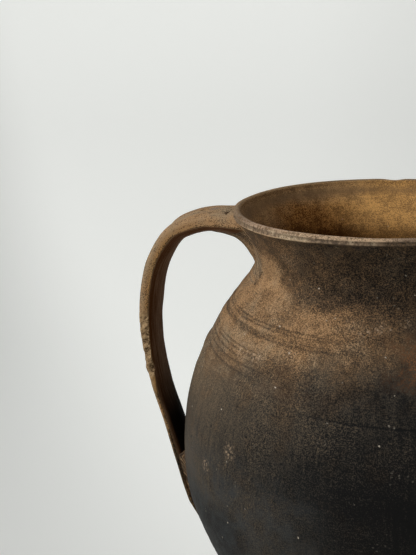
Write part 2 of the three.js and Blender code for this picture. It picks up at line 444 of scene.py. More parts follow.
rim_chip = np.zeros(len(spots))
for side, down, size, depth in RIM_CHIPS:
    centre = on_ring(RIM_RADIUS, side, HEIGHT - down * mm)
    inward = on_ring(LIP_MIDDLE, side, RIM_CORE_HEIGHT) - centre
    near = nearness(centre, size)
    spots += near[:, None] * inward / np.linalg.norm(inward) * depth * mm
    rim_chip = np.maximum(rim_chip, near)
rim_sides, rim_levels = zip(*RIM_LEVELS)
rim_level = np.interp(np.degrees(azimuth) % 360, rim_sides, rim_levels, period=360)
spots[:, 2] += rim_level * mm * ease(drop, 14, 2)
deeper = facing(DEEPER_BAND_SIDE, 42, 24) * stretch(drop, 1.6, 3, 4.5, 9) * (out > LIP_MIDDLE)
spots[:, 2] -= DEEPER_BAND * deeper
move_points(body, spots)
print(f"{len(RIM_CHIPS)} chips on the rim, which dips by up to {-min(rim_levels):.2f} mm")

# %% Lumps of two sizes, by Displace modifiers that are applied at once, and a flat base
def lump(piece, size, height):
    clouds = bpy.data.textures.new(f"{piece.name}_lumps_{size / mm:.0f}", "CLOUDS")
    clouds.noise_scale = size
    clouds.noise_depth = 1
    bpy.ops.object.select_all(action="DESELECT")
    piece.select_set(True)
    bpy.context.view_layer.objects.active = piece
    modifier = piece.modifiers.new("lumps", "DISPLACE")
    modifier.texture = clouds
    modifier.texture_coords = "LOCAL"
    modifier.strength = height
    modifier.mid_level = 0.5
    bpy.ops.object.modifier_apply(modifier=modifier.name)


lump(body, size=70 * mm, height=1.0 * mm)
lump(body, size=14 * mm, height=0.22 * mm)
lumpy = points_of(body)
lumpy[:, 2] = np.where(spots[:, 2] < 0.1 * mm, 0, np.maximum(lumpy[:, 2], 0))
move_points(body, lumpy)
print(f"lumps move the body's points by up to {np.abs(lumpy - spots).max() / mm:.2f} mm")

# %% Numbers kept on the body's points for its material: what is inside, rim, worn edge, painted line shade, chip or scuff
WHEEL_RADIUS = 80 * mm
# Azimuth in degrees, then drop below the rim and size in millimetres.
SCUFFS = [
    (257.8, 41.3, 2), (263.6, 45, 3), (268, 42.2, 3), (276.3, 39.6, 2.5),
    (228, 106.4, 4), (217.7, 121.5, 3.5), (221, 62.3, 5), (228, 62, 4),
]


def keep(piece, **numbers):
    """Keeps one number per point, or three, under each of the names."""
    for name, values in numbers.items():
        values = np.asarray(values, np.float32)
        kind, key = ("FLOAT", "value") if values.ndim == 1 else ("FLOAT_VECTOR", "vector")
        piece.data.attributes.new(name, kind, "POINT").data.foreach_set(key, values.ravel())


scuff = np.zeros(len(spots))
for side, down, size in SCUFFS:
    height = HEIGHT - down * mm
    scuff = np.maximum(scuff, nearness(on_ring(skin_radius(height), side, height), size))
inner_edge = np.where(drop < 3, LIP_MIDDLE - 1.5 * mm, skin_radius(HEIGHT - drop * mm) - WALL / 2)
inside = ease(inner_edge - out, -0.3 * mm, 0.3 * mm)
band_foot = RIM_BAND_HEIGHT / mm
ring_place = WHEEL_RADIUS * np.column_stack([np.cos(azimuth), np.sin(azimuth)])
keep(
    body,
    inside=inside,
    rim_band=stretch(drop, 0.7, 1.3, band_foot - 0.2, band_foot + 0.4) * (out > LIP_MIDDLE),
    worn_lip=ease(drop, 1.6, 0.9) * (out > LIP_MIDDLE - 2.5 * mm),
    worn_arris=notch(drop, band_foot, 1.3) * (out > LIP_MIDDLE - mm),
    line=line_shade * on_outside,
    chip=rim_chip,
    wheel_place=np.column_stack([ring_place, up_wall]),
    scuff=scuff,
)
print(f"{int((inside > 0.5).sum())} points lie inside the body, {len(SCUFFS)} scuffs outside")

# %% [markdown]
# The handle is a strap: a rod of clay drawn out wet, flattened, bent over and pressed on at both ends.
# It could be a curve with a bevel, but a strap changes width and thickness on its own terms, so a
# straight rod is added, cut into many rings, and each ring is set square to the strap's route.

# %% The strap's route: distance out and drop in millimetres, the solid's but for a longer tail
STRAP_ROUTE = [
    (66, 10.5), (82, 8.9), (96, 8.8), (105.9, 11.15), (114.6, 15.4), (124.0, 28.4), (128.7, 42),
    (131.9, 68), (128.2, 101), (120.9, 128), (115.3, 149), (109.7, 170),
    (102.7, 188.6), (97.2, 200.8), (90.9, 212),
]
POINTS_PER_SPAN = 60


def smooth_route(stops, per_span):
    """A centripetal Catmull-Rom curve through the stops, which bends no more than it must."""
    stops = np.array(stops, float)
    padded = np.vstack([2 * stops[0] - stops[1], stops, 2 * stops[-1] - stops[-2]])
    knots = run_of(padded, 0.5)

    def blend(t, low, high, first, second):
        return ((high - t) * first + (t - low) * second) / (high - low)

    pieces = []
    for i in range(1, len(padded) - 2):
        p = padded[i - 1 : i + 3]
        k = knots[i - 1 : i + 3]
        t = np.linspace(k[1], k[2], per_span, endpoint=False)[:, None]
        first = [blend(t, k[j], k[j + 1], p[j], p[j + 1]) for j in range(3)]
        second = [blend(t, k[j], k[j + 2], first[j], first[j + 1]) for j in range(2)]
        pieces.append(blend(t, k[1], k[2], *second))
    return np.vstack([*pieces, stops[-1:]])


def at_shares(curve, shares):
    """The curve's points at the given shares of its run."""
    run = run_of(curve)
    return np.column_stack([np.interp(shares * run[-1], run, curve[:, i]) for i in range(2)])


route = smooth_route([(-x, HEIGHT / mm - d) for x, d in STRAP_ROUTE], POINTS_PER_SPAN) * mm
strap_length = run_of(route)[-1]
print(f"the strap is {strap_length / mm:.0f} mm long")

# %% A straight rod, cut into rings
RING_POINTS = 128
RING_CUTS = (15, 23)

strap = begin("handle_strap", bpy.ops.mesh.primitive_cylinder_add, vertices=RING_POINTS, radius=1, depth=1)


def ends_of(piece, edge):
    return [piece.data.vertices[v].co for v in edge.vertices]


def runs_along(edge):
    start, end = ends_of(strap, edge)
    return abs(start.z - end.z) > 1e-4


for cuts in RING_CUTS:
    with editing(strap, "EDGE", runs_along):
        bpy.ops.mesh.subdivide(number_cuts=cuts)
with editing(strap, "FACE", lambda face: abs(face.normal.z) > 0.9):
    bpy.ops.mesh.poke()
print(f"the rod has {len(strap.data.vertices) // RING_POINTS} rings and two pointed ends")

# %% Flatten the rod to a pulled strap's section: a rounded back, a swelling front and two sharp edges
# Thickness and width in millimetres, and the back's share of the thickness, at even steps along the strap.
STRAP_THICKNESS = [14.4, 13.7, 11.3, 11, 11.1, 10.8, 10.4, 9, 7.2, 6.5, 6.4, 7.2, 7.8, 8.1, 8.4, 5.7, 3]
STRAP_WIDTH = [40, 33, 30, 30, 30, 29, 30, 32, 22]
BACK_SHARE = [0.55, 0.55, 0.55, 0.62, 0.58, 0.38, 0.3, 0.36, 0.5]
TABLE_LENGTH = 247
THIN_TAIL_START = 239
THIN_TAIL_SHARE = 0.8
BACK_SQUARENESS = 6
ROUND_SQUARENESS = 2.2
ROUND_END = (36, 12)
FRONT_SWELL = 2.2
BLUNT_STRETCH = (91, 101, 136, 146)
BLUNT_DEPTH = 0.6
THUMB_DEPTH = 0.5
THUMB_WIDTH = 8


def along(values, length):
    return np.interp(length, np.linspace(0, TABLE_LENGTH, len(values)), values)


rod = points_of(strap)
share = rod[:, 2] + 0.5
length = share * strap_length / mm
half_width = along(STRAP_WIDTH, length) / 2
thinned = THIN_TAIL_SHARE * ease(length, THIN_TAIL_START, strap_length / mm)
thickness = along(STRAP_THICKNESS, length) * (1 - thinned)
blunt = stretch(length, *BLUNT_STRETCH) * ease(rod[:, 0], 0.2, -0.6)
edge_rise = thickness * (0.5 - along(BACK_SHARE, length)) - BLUNT_DEPTH * blunt
round_half = np.abs(np.arctan2(rod[:, 1], rod[:, 0])) / math.pi


def back_profile(squareness):
    """Across and up at each point of the rod, for a back that is an ellipse (2) or squarer (above 2)."""
    turned = np.linspace(0, math.pi, 2000)
    over = np.sign(np.cos(turned)) * np.abs(np.cos(turned)) ** (2 / squareness)
    up = np.sin(turned) ** (2 / squareness)
    arc = run_of(np.column_stack([over * STRAP_WIDTH[2] / 2, up * STRAP_THICKNESS[2] / 2]))
    return np.array([np.interp(round_half, arc / arc[-1], values) for values in (over, up)])


rounded = ease(length, *ROUND_END)
square_back = back_profile(BACK_SQUARENESS)
back_across, back_up = (1 - rounded) * square_back + rounded * back_profile(ROUND_SQUARENESS)
on_back = rod[:, 1] > 1e-4
on_front = rod[:, 1] < -1e-4
across = np.where(on_back, back_across, 1 - 2 * round_half)
sideways = across * half_width
back = (thickness / 2 - edge_rise) * back_up
front = (thickness / 2 + edge_rise) * (1 - np.abs(across) ** FRONT_SWELL)
rise = edge_rise + np.where(on_back, back, 0) - np.where(on_front, front, 0)
rise -= on_back * THUMB_DEPTH * np.exp(-((sideways / THUMB_WIDTH) ** 2))
at_centre = np.hypot(rod[:, 0], rod[:, 1]) < 1e-3
rise[at_centre] = 0
sideways[at_centre] = 0
print(f"the strap is {thickness.max():.1f} mm thick and {2 * sideways.max():.1f} mm wide at most")

# %% Roughen its near edge, where a stretch has crumbled
CRUMBLED = {"length": (98, 137), "rise": (-3.4, 4.4), "size": (0.7, 1.6), "height": (-0.9, 0.7)}
CRUMB_COUNT = 150
CRUMB_SEED = 7
# Length along the strap, rise, size and height of each mark in millimetres. Below 0 it is a pit.
EDGE_MARKS = [(126, 0.6, 2.6, 1.2), (130.5, -1.2, 2.2, -1.4), (139, -0.6, 4.2, 0.45), (143, 0.6, 3.4, 0.4)]

crumbs = np.random.default_rng(CRUMB_SEED)
crumbs_start, crumbs_end = CRUMBLED["length"]
for _ in range(CRUMB_COUNT):
    there, high, size, height = [crumbs.uniform(*limits) for limits in CRUMBLED.values()]
    fade = ease(min(there - crumbs_start, crumbs_end - there), -4, 10)
    EDGE_MARKS.append((there, high, size, height * fade))
on_near_edge = np.where(on_front, ease(across, -0.9, -1), ease(across, -0.75, -0.95))
chip_mark = np.zeros(len(rod))
pit_mark = np.zeros(len(rod))
flat_rise = rise.copy()
for there, high, size, height in EDGE_MARKS:
    away = np.hypot(length - there, flat_rise - high) / size
    near = np.exp(-(away**4)) * on_near_edge
    sideways -= near * height
    if height > 0:
        chip_mark = np.maximum(chip_mark, near)
    else:
        pit_mark = np.maximum(pit_mark, near * min(1, -height))
print(f"{len(EDGE_MARKS)} marks on the near edge")

# %% Roughen its top: pits, a cracked blister, a pebble in the clay and a patch of ash
# Length along the strap, distance sideways, size and height: two groups of pits, and the blister.
TOP_MARKS = [
    (33.9, 3.6, 1.1, -0.5), (32.6, 2.7, 1.4, -0.8), (31.1, 2.5, 1.1, -0.6),
    (19.0, -11.0, 0.7, -0.6), (18.8, -8.8, 1.0, -1.0), (18.0, -6.4, 0.6, -0.6), (17.4, -3.8, 0.7, -0.6),
    (34.8, 1.8, 1.1, 0.3), (32.8, 0.4, 1.2, 0.35), (30.6, 0.2, 1.0, 0.3),
]
PEBBLE = (131.5, -12.5, 4)
PEBBLE_HEIGHT = 0.8
ASHY_TOP = {"length": 27.4, "sideways": 1.8, "long": 3.4, "wide": 2.6}

on_top = ease(rod[:, 1], 0.1, 0.5)


def near_on_top(there, aside, size):
    return np.exp(-((np.hypot(length - there, sideways - aside) / size) ** 2)) * on_top


for there, aside, size, height in TOP_MARKS:
    near = near_on_top(there, aside, size)
    rise += near * height
    if height > 0:
        chip_mark = np.maximum(chip_mark, near)
    else:
        pit_mark = np.maximum(pit_mark, near)
rise += near_on_top(*PEBBLE) * PEBBLE_HEIGHT
along_ash = (length - ASHY_TOP["length"]) / ASHY_TOP["long"]
across_ash = (sideways - ASHY_TOP["sideways"]) / ASHY_TOP["wide"]
ash_mark = np.exp(-((along_ash**2 + across_ash**2) ** 2)) * on_top
print(f"{len(TOP_MARKS)} marks on top")

# %% Bend it along the route and seat its ends in the wall
SEAT_DEPTH = 1.5 * mm
LOOK_AHEAD = 0.004
SHARP = math.radians(50)

middle = at_shares(route, share)
ahead = at_shares(route, np.minimum(share + LOOK_AHEAD, 1))
behind = at_shares(route, np.maximum(share - LOOK_AHEAD, 0))
heading = (ahead - behind) / np.linalg.norm(ahead - behind, axis=1)[:, None]
outward = np.column_stack([heading[:, 1], -heading[:, 0]]) * rise[:, None] * mm
bent = np.column_stack([middle[:, 0] + outward[:, 0], sideways * mm, middle[:, 1] + outward[:, 1]])
reach = np.hypot(bent[:, 0], bent[:, 1])
seated = np.maximum(reach, skin_radius(bent[:, 2]) - SEAT_DEPTH)
bent[:, :2] *= (seated / reach)[:, None]
move_points(strap, bent)
with editing(strap):
    bpy.ops.mesh.normals_make_consistent(inside=False)
bpy.ops.object.shade_smooth_by_angle(angle=SHARP)
lump(strap, size=26 * mm, height=0.8 * mm)
lump(strap, size=7 * mm, height=0.25 * mm)
print(f"strap from {bent.min(axis=0).round(3)} to {bent.max(axis=0).round(3)}")

# %% Numbers kept on the strap's points: its place on the straight rod, its grip, its edges and its wear
CRUMBLED_STRETCH = (84, 112, 133, 139)

from_edge = on_front * (1 - np.abs(across))
grip = ease(from_edge, 0.01, 0.06)
keep(
    strap,
    rod_place=np.column_stack([sideways, rise, length]) * mm,
    grip=grip,
    from_edge=from_edge,
    side=np.where(on_front, 0, 1 - back_up),
    crumbled=stretch(length, *CRUMBLED_STRETCH) * on_near_edge,
    chip=chip_mark,
    pit=pit_mark,
    ash=ash_mark,
)
print(f"{int((grip > 0.5).sum())} points lie on the face that the fingers hold")

# %% [markdown]
# Where the strap leaves the neck, the potter thumbed a wad of clay into the corner below it. It could be
# a bevel, but a bevel needs one mesh, and here the wad is a piece of its own. So a flat grid is laid on
# the neck like a poultice, and each of its points is raised by how close it lies to the strap.

# %% Helper: a patch of clay on the wall, raised by a height in millimetres for each place on it
PATCH_THICKNESS = 2 * mm
PATCH_HALF_WIDTH = 32


def clay_patch(name, drops, columns, height_of):
    rows = len(drops) - 1
    grid_add = bpy.ops.mesh.primitive_grid_add
    patch = begin(name, grid_add, x_subdivisions=columns, y_subdivisions=rows, size=2)
    flat = points_of(patch)
    aside = flat[:, 0] * PATCH_HALF_WIDTH
    down = np.array(drops)[np.rint((flat[:, 1] + 1) / 2 * rows).astype(int)]
    base = skin_radius(HEIGHT - down * mm)
    angle = math.pi + aside * mm / base
    reach = base + height_of(aside, down) * mm
    move_points(patch, np.column_stack([reach * np.cos(angle), reach * np.sin(angle), HEIGHT - down * mm]))
    slant = np.column_stack([np.abs(aside) - down, 0 * down, np.abs(aside) + down])
    keep(patch, drag_place=slant * math.sqrt(0.5) * mm)
    middle_face = patch.data.polygons[len(patch.data.polygons) // 2]
    if middle_face.normal.x > 0:
        with editing(patch):
            bpy.ops.mesh.flip_normals()
    thick = patch.modifiers.new("thickness", "SOLIDIFY")
    thick.thickness = PATCH_THICKNESS
    thick.offset = -1
    bpy.ops.object.modifier_apply(modifier=thick.name)
    bpy.ops.object.shade_smooth()
    return patch


# %% The wad under the strap: a hollow fillet that leaves the strap's section and dies into the neck
STRAP_DROP = 9.3
STRAP_HALF_WIDTH = 16.0
STRAP_HALF_THICK = 5.8
STRAP_SQUARENESS = 2.6
# Beside the strap and below it, in millimetres.
WAD_HEIGHT = (4, 22.5)
WAD_REACH = (8, 16.9)
# Share of the reach, and share of the height that is left there.
WAD_STOPS = [
    (0, 1), (0.05, 0.78), (0.11, 0.63), (0.2, 0.46), (0.34, 0.325),
    (0.54, 0.22), (0.74, 0.125), (0.9, 0.05), (1, 0),
]
WAD_PROFILE = smooth_route(WAD_STOPS, 12).T
WAD_COLUMNS = 96
WAD_SUNK = 0.25


def wad_height(aside, down):
    lower = np.maximum(down - STRAP_DROP, 0)
    size = (np.abs(aside) / STRAP_HALF_WIDTH) ** STRAP_SQUARENESS
    size = (size + (lower / STRAP_HALF_THICK) ** STRAP_SQUARENESS) ** (1 / STRAP_SQUARENESS)
    far = np.hypot(aside, lower)
    under = lower / np.maximum(far, 1e-6)
    reach = np.interp(under, (0, 1), WAD_REACH)
    tall = np.interp(under**2, (0, 1), WAD_HEIGHT)
    away = far * np.maximum(1 - 1 / np.maximum(size, 1e-6), 0) / reach
    smears = 0.3 * np.sin(1.5 * (down - 0.9 * np.abs(aside))) * stretch(away, 0.05, 0.3, 0.7, 1)
    return tall * np.interp(away, *WAD_PROFILE) * ease(down, 3, 8) + smears - WAD_SUNK


# Rows of points: even beside the strap, then closest together just below it.
wad_drops = np.concatenate([np.linspace(3, 13, 21), 13 + 24 * np.linspace(0.02, 1, 56) ** 1.7])
wad = clay_patch("neck_wad", wad_drops, WAD_COLUMNS, wad_height)
print(f"wad: {len(wad.data.polygons)} faces")

# %% [markdown]
# The tail of the strap is pressed along the belly, and its edges are smeared down on both sides and
# below the tip. This is the same kind of patch as the wad, with its own sizes.

# %% The smear round the tail
TAIL_START = 146
TAIL_END = 210
SMEAR_BESIDE = 10
SMEAR_BELOW = 11
SMEAR_BEFORE = 9
SMEAR_SUNK = 0.3
SMEAR_COLUMNS = 72

# The last part of the strap, where it comes down to the belly and lies along it.
tail_shares = np.linspace(0.6, 1, 80)
tail_route = at_shares(route, tail_shares)
tail_drops = (HEIGHT - tail_route[:, 1]) / mm


def hollow_corner(share):
    """1 at the corner and 0 at the patch's edge: part hollow quarter circle, part straight slope."""
    left = 1 - np.clip(share, 0, 1)
    return 0.7 * (1 - np.sqrt(1 - left**2)) + 0.3 * left**1.1


def smear_height(aside, down):
    tail_length = np.interp(down, tail_drops, tail_shares) * strap_length / mm
    tail_out = np.interp(down, tail_drops, -tail_route[:, 0] / mm)
    above_wall = tail_out - skin_radius(HEIGHT - down * mm) / mm
    beside = np.maximum(np.abs(aside) - along(STRAP_WIDTH, tail_length) / 2 + 1, 0) / SMEAR_BESIDE
    below = np.maximum(down - TAIL_END + 2, 0) / SMEAR_BELOW
    before = np.maximum(TAIL_START - down, 0) / SMEAR_BEFORE
    away = np.sqrt(beside**2 + below**2 + before**2)
    on_tail = 0.3 * along(STRAP_THICKNESS, tail_length) * (down >= TAIL_START)
    smears = 0.25 * np.sin(0.9 * down + 0.5 * np.abs(aside)) * stretch(away, 0.1, 0.4, 0.7, 1)
    return (above_wall + on_tail) * hollow_corner(away) + smears - SMEAR_SUNK


smear = clay_patch("tail_smear", np.linspace(130, 226, 97), SMEAR_COLUMNS, smear_height)
print(f"smear: {len(smear.data.polygons)} faces")

# %% [markdown]
# The stage is one sheet of pale paper that lies flat under the jug and curves up behind it, so no
# horizon shows in the picture. A plane with its far edge extruded upwards and the fold bevelled does that.

# %% Paper sweep
SHEET_SIZE = 5
SWEEP_BACK = 1.6
SWEEP_HEIGHT = 3
SWEEP_BEND = 1.1
SWEEP_SEGMENTS = 24

sheet_middle = (0, SWEEP_BACK - SHEET_SIZE / 2, 0)
paper = begin("paper_sweep", bpy.ops.mesh.primitive_plane_add, size=SHEET_SIZE, location=sheet_middle)
bpy.ops.object.transform_apply(location=True, rotation=True, scale=True)


def at_back(edge):
    return all(end.y > SWEEP_BACK - mm for end in ends_of(paper, edge))


def at_fold(edge):
    return at_back(edge) and all(end.z < mm for end in ends_of(paper, edge))


with editing(paper, "EDGE", at_back):
    bpy.ops.mesh.extrude_region_move(TRANSFORM_OT_translate={"value": (0, 0, SWEEP_HEIGHT)})
with editing(paper, "EDGE", at_fold):
    bpy.ops.mesh.bevel(offset=SWEEP_BEND, segments=SWEEP_SEGMENTS, affect="EDGES")
bpy.ops.object.shade_smooth()
print(f"paper sweep of {len(paper.data.polygons)} faces")

# %% [markdown]
# The light is one large window at the left, a little in front of the jug. A large lamp gives the soft
# edge between light and shade that the belly shows.

# %% Window light
WINDOW_AZIMUTH = math.radians(212)
WINDOW_ELEVATION = math.radians(48)
WINDOW_DISTANCE = 1.5
WINDOW_SIZE = 1.3
WINDOW_POWER = 17
JUG_MIDDLE = Vector((0, 0, 0.6 * HEIGHT))

raised = Matrix.Rotation(-WINDOW_ELEVATION, 3, "Y") @ Vector((1, 0, 0))
toward = Matrix.Rotation(WINDOW_AZIMUTH, 3, "Z") @ raised
bpy.ops.object.select_all(action="DESELECT")
bpy.ops.object.light_add(type="AREA", location=JUG_MIDDLE + toward * WINDOW_DISTANCE)
window = bpy.context.object
window.name = "window"
window.rotation_euler = toward.to_track_quat("Z", "Y").to_euler()
window.data.size = WINDOW_SIZE
window.data.energy = WINDOW_POWER
bpy.context.scene.view_settings.view_transform = "Standard"
print(f"window at {[round(c, 2) for c in window.location]}")

# %% [markdown]
# In places the soot number also carries painted shade and painted highlights rather than soot, as marked
# below.
# Smoke decides how this clay looks. Where the fire could breathe the pot stayed tan, and where it was
# starved the pot took up soot, from brown to nearly black. So one number per spot, the soot, drives a
# ramp of colours from tan to black, and the materials differ only in where they put soot.
# The marks that all of them share are node groups: the grain of the clay, and the clouds of smoke.

# %% Helper: wires in one shader tree, where each value is a number, a colour or another node's socket
class Wires:
    def __init__(self, tree):
        self.tree = tree

    def set(self, socket, value):
        if isinstance(value, bpy.types.NodeSocket):
            self.tree.links.new(value, socket)
        else:
            socket.default_value = value

    def add(self, kind, plugs=None, **settings):
        node = self.tree.nodes.new(kind)
        for name, value in settings.items():
            setattr(node, name, value)
        for socket, value in (plugs or {}).items():
            self.set(node.inputs[socket], value)
        return node

    def group(self, group, **plugs):
        return self.add("ShaderNodeGroup", plugs, node_tree=group).outputs

    def attribute(self, name, output="Fac"):
        return self.add("ShaderNodeAttribute", attribute_name=name).outputs[output]

    def apart(self, place):
        return self.add("ShaderNodeSeparateXYZ", {0: place}).outputs

    def figure(self, operation, *values):
        return self.add("ShaderNodeMath", dict(enumerate(values)), operation=operation).outputs[0]

    def vector(self, operation, *values):
        return self.add("ShaderNodeVectorMath", dict(enumerate(values)), operation=operation).outputs

    def times(self, first, *others):
        for other in others:
            first = self.figure("MULTIPLY", first, other)
        return first

    def plus(self, base, *parts):
        """The base plus each part, a value times its weight."""
        for value, weight in parts:
            base = self.figure("MULTIPLY_ADD", value, weight, base)
        return base

    def uneven(self, base, *parts):
        """The base, raised or lowered by each weight as its pattern lies above or below the middle."""
        for pattern, weight in parts:
            base = self.plus(base, (self.figure("SUBTRACT", pattern, 0.5), weight))
        return base

    def largest(self, first, second):
        return self.figure("MAXIMUM", first, second)

    def eased(self, value, low, high, to_low=0.0, to_high=1.0):
        """to_low where the value is low and to_high where it is high, with a soft start and end."""
        plugs = {"Value": value, "From Min": low, "From Max": high, "To Min": to_low, "To Max": to_high}
        return self.add("ShaderNodeMapRange", plugs, interpolation_type="SMOOTHSTEP").outputs[0]

    def between(self, share, first, second):
        return self.add("ShaderNodeMix", {0: share, 2: first, 3: second}, data_type="FLOAT").outputs[0]

    def mixed(self, share, first, second, blend="MIX"):
        plugs = {0: share, 6: first, 7: second}
        return self.add("ShaderNodeMix", plugs, data_type="RGBA", blend_type=blend).outputs[2]


# %% Helpers: noise and specks, and the ends of a node group
class Patterns(Wires):
    def noise_node(self, place, scale, detail, roughness):
        plugs = {"Vector": place, "Scale": scale, "Detail": detail, "Roughness": roughness}
        return self.add("ShaderNodeTexNoise", plugs).outputs

    def noise(self, place, scale, detail, roughness, stretch=None):
        """Noise of about so many lumps to the metre, with finer detail, squeezed along each axis."""
        if stretch:
            place = self.vector("MULTIPLY", place, stretch)[0]
        return self.noise_node(place, scale, detail, roughness)[0]

    def shifted(self, place, amount, scale, detail, roughness):
        """The place, pushed about by noise, by up to half the amount on each axis."""
        colour = self.noise_node(place, scale, detail, roughness)[1]
        push = self.vector("SUBTRACT", colour, (0.5, 0.5, 0.5))[0]
        return self.vector("MULTIPLY_ADD", push, (amount, amount, amount), place)[0]

    def ragged(self, place):
        return self.shifted(place, 1.6 * mm, 1200, 2, 0.55)

    def specks(self, place, scale, size, rarity):
        """1 on small round spots, in as many cells of the given scale as the rarity leaves."""
        cells = self.add("ShaderNodeTexVoronoi", {"Vector": place, "Scale": scale}).outputs
        chosen = self.add("ShaderNodeSeparateColor", {"Color": cells["Color"]}).outputs
        spot = self.eased(cells["Distance"], size, size * 0.5)
        return self.times(spot, self.eased(chosen[0], rarity, rarity + 0.02), chosen[1])

    def put_out(self, **values):
        """Ends a node group: one output for each of the names."""
        for name, value in values.items():
            kind = "NodeSocketColor" if value.type == "RGBA" else "NodeSocketFloat"
            self.tree.interface.new_socket(name=name, in_out="OUTPUT", socket_type=kind)
        ends = self.tree.nodes.new("NodeGroupOutput").inputs
        for name, value in values.items():
            self.tree.links.new(value, ends[name])
        print(f"{self.tree.name}: {len(self.tree.nodes)} nodes")
        return self.tree


def new_group(name, kind, *inputs):
    tree = bpy.data.node_groups.new(name, "ShaderNodeTree")
    for socket in inputs:
        tree.interface.new_socket(name=socket, in_out="INPUT", socket_type=kind)
    return Patterns(tree), tree.nodes.new("NodeGroupInput").outputs


# %% Node group: the grain of the clay, with the streaks of the wheel and the strokes of the burnishing
def make_clay_grain():
    g, given = new_group("clay_grain", "NodeSocketVector", "Place", "Turned")
    place = given["Place"]
    turned = given["Turned"]
    mottle = g.noise(place, 90, 8, 0.66)
    coarse = g.eased(g.noise(place, 720, 4, 0.7), 0.27, 0.73)
    fine = g.eased(g.noise(place, 1750, 3, 0.6), 0.32, 0.68)
    roughness = g.eased(g.noise(place, 24, 4, 0.6), 0.38, 0.62, 0.9, 1.6)
    grain = g.uneven(0.5, (g.between(0.78, coarse, fine), roughness))
    rubbed = g.eased(g.noise(place, 26, 3, 0.5), 0.42, 0.6)
    lines = g.noise(turned, 40, 6, 0.62, (1, 1, 18))
    streak = g.between(rubbed, 0.5, lines)
    stroke = g.between(rubbed, g.noise(turned, 60, 5, 0.6, (13, 13, 1)), 0.5)
    tint = g.eased(g.noise(place, 60, 6, 0.62), 0.3, 0.7)
    ragged = g.ragged(place)
    scuffed = g.eased(g.noise(place, 48, 3, 0.5), 0.62, 0.72)
    crumbs = g.times(scuffed, g.specks(ragged, 560, 0.36, 0.7), 0.25)
    speck = g.largest(g.specks(ragged, 480, 0.24, 0.975), crumbs)
    speck = g.largest(g.specks(ragged, 160, 0.11, 0.93), speck)
    pit = g.specks(ragged, 330, 0.3, 0.78)
    height = g.plus(g.times(mottle, 0.45), (grain, 0.16), (streak, 0.3), (stroke, 0.12))
    height = g.plus(height, (speck, 0.12), (pit, -0.25))
    marks = {"Mottle": mottle, "Grain": grain, "Lines": lines, "Streak": streak, "Stroke": stroke}
    return g.put_out(**marks, Speck=speck, Pit=pit, Tint=tint, Height=height)


clay_grain = make_clay_grain()

# %% Node group: the clouds of smoke on the wall, by drop in millimetres and by the side that they face
def make_smoke_clouds():
    g, given = new_group("smoke_clouds", "NodeSocketVector", "Place")
    place = given["Place"]
    loose = g.shifted(place, 17 * mm, 52, 6, 0.66)
    drop = g.times(g.figure("SUBTRACT", HEIGHT, g.apart(loose)[2]), 1 / mm)
    outward = g.vector("NORMALIZE", g.vector("MULTIPLY", loose, (1, 1, 0))[0])[0]

    def cosine(degrees):
        return g.vector("DOT_PRODUCT", outward, tuple(on_ring(1, degrees, 0)))["Value"]

    def faces(degrees, far, near):
        """1 where the wall faces the given side, within near degrees, easing to 0 at far degrees."""
        return g.eased(cosine(degrees), cos_of(far), cos_of(near))

    def near_drop(middle, far, near):
        """1 within near millimetres of the middle drop, easing to 0 at far."""
        return g.eased(g.figure("ABSOLUTE", g.figure("SUBTRACT", drop, middle)), far, near)

    flank = g.uneven(g.eased(drop, 132, 148, 0.0, 0.2), (near_drop(126, 22, 8), -0.07))
    ashy_foot = g.times(faces(255, 30, 12), g.eased(drop, 110, 126))
    blotch = g.eased(g.noise(place, 17, 5, 0.55), 0.5, 0.8)
    belly = g.plus(
        g.between(faces(194, 80, 10), 0.885, 0.465),
        (faces(190, 38, 12), -0.08),
        # More soot lower down. This is partly painted shade on the lower belly.
        (g.eased(drop, 75, 125), 0.31),
        (ashy_foot, -0.15),
        (faces(213, 26, 10), flank),
        (blotch, -0.12),
    )
    ringed = faces(203, 36, 16)
    band_end = g.eased(drop, g.between(ringed, 71, 74), g.between(ringed, 50, 57))
    pale = g.times(band_end, faces(210, 88, 22))
    # A painted highlight on the neck, with painted shade a little lower and further round, both given as
    # soot.
    lit_spot = g.times(faces(217, 13, 5), near_drop(31, 7, 2))
    dim_spot = g.times(faces(227, 20, 8), near_drop(42, 7, 3))
    pale_soot = g.uneven(0.225, (g.between(lit_spot, dim_spot, -3.2), 0.07))
    wall = g.between(pale, belly, pale_soot)

    sooty_neck = g.between(faces(290, 64, 25), 0.48, 0.74)
    # On the handle side the neck is darker just under the rim. This is soot, and also painted shadow of the
    # rim.
    soot_and_rim_shadow = g.eased(drop, 21, 13, 0.1, 0.5)
    neck = g.between(faces(190, 36, 29), sooty_neck, soot_and_rim_shadow)
    neck_edge = g.plus(33.0, (faces(256, 30, 20), 4.5))
    soft_edge = g.between(faces(228, 36, 22), 8.0, 3.5)
    above_edge = g.figure("DIVIDE", g.figure("SUBTRACT", neck_edge, drop), soft_edge)
    soot = g.between(g.eased(above_edge, -1.0, 1.0), wall, neck)
    smudges = g.eased(g.noise(loose, 120, 6, 0.7), 0.4, 0.6)
    soot = g.uneven(soot, (smudges, g.eased(drop, 90, 66, 0.02, 0.15)))

    # Blue-grey ash low on the side towards the window. This is partly a painted sheen.
    ash = g.times(faces(228, 34, 14), g.eased(drop, 98, 128, 0.0, 0.45))
    rusty_front = g.times(faces(280, 12, 3), near_drop(54, 15, 5))
    rusty_edge = g.times(faces(216, 42, 18), near_drop(70, 13, 4), 0.2)
    stain = g.eased(g.times(g.plus(0.7, (drop, 0.012)), cosine(175)), 0.24, 0.62)
    veil = g.times(faces(178, 34, 12), g.eased(drop, 30, 6, 0.0, 0.6))
    under_lip = g.times(faces(150, 62, 30), g.eased(drop, 15, 3, 0.0, 0.7))
    return g.put_out(
        Soot=soot,
        Ash=ash,
        Rust=g.largest(rusty_front, rusty_edge),
        Stain=stain,
        Veil=g.largest(veil, under_lip),
        Warmth=g.eased(drop, 35, 88, 0.5, -0.6),
    )


smoke_clouds = make_smoke_clouds()

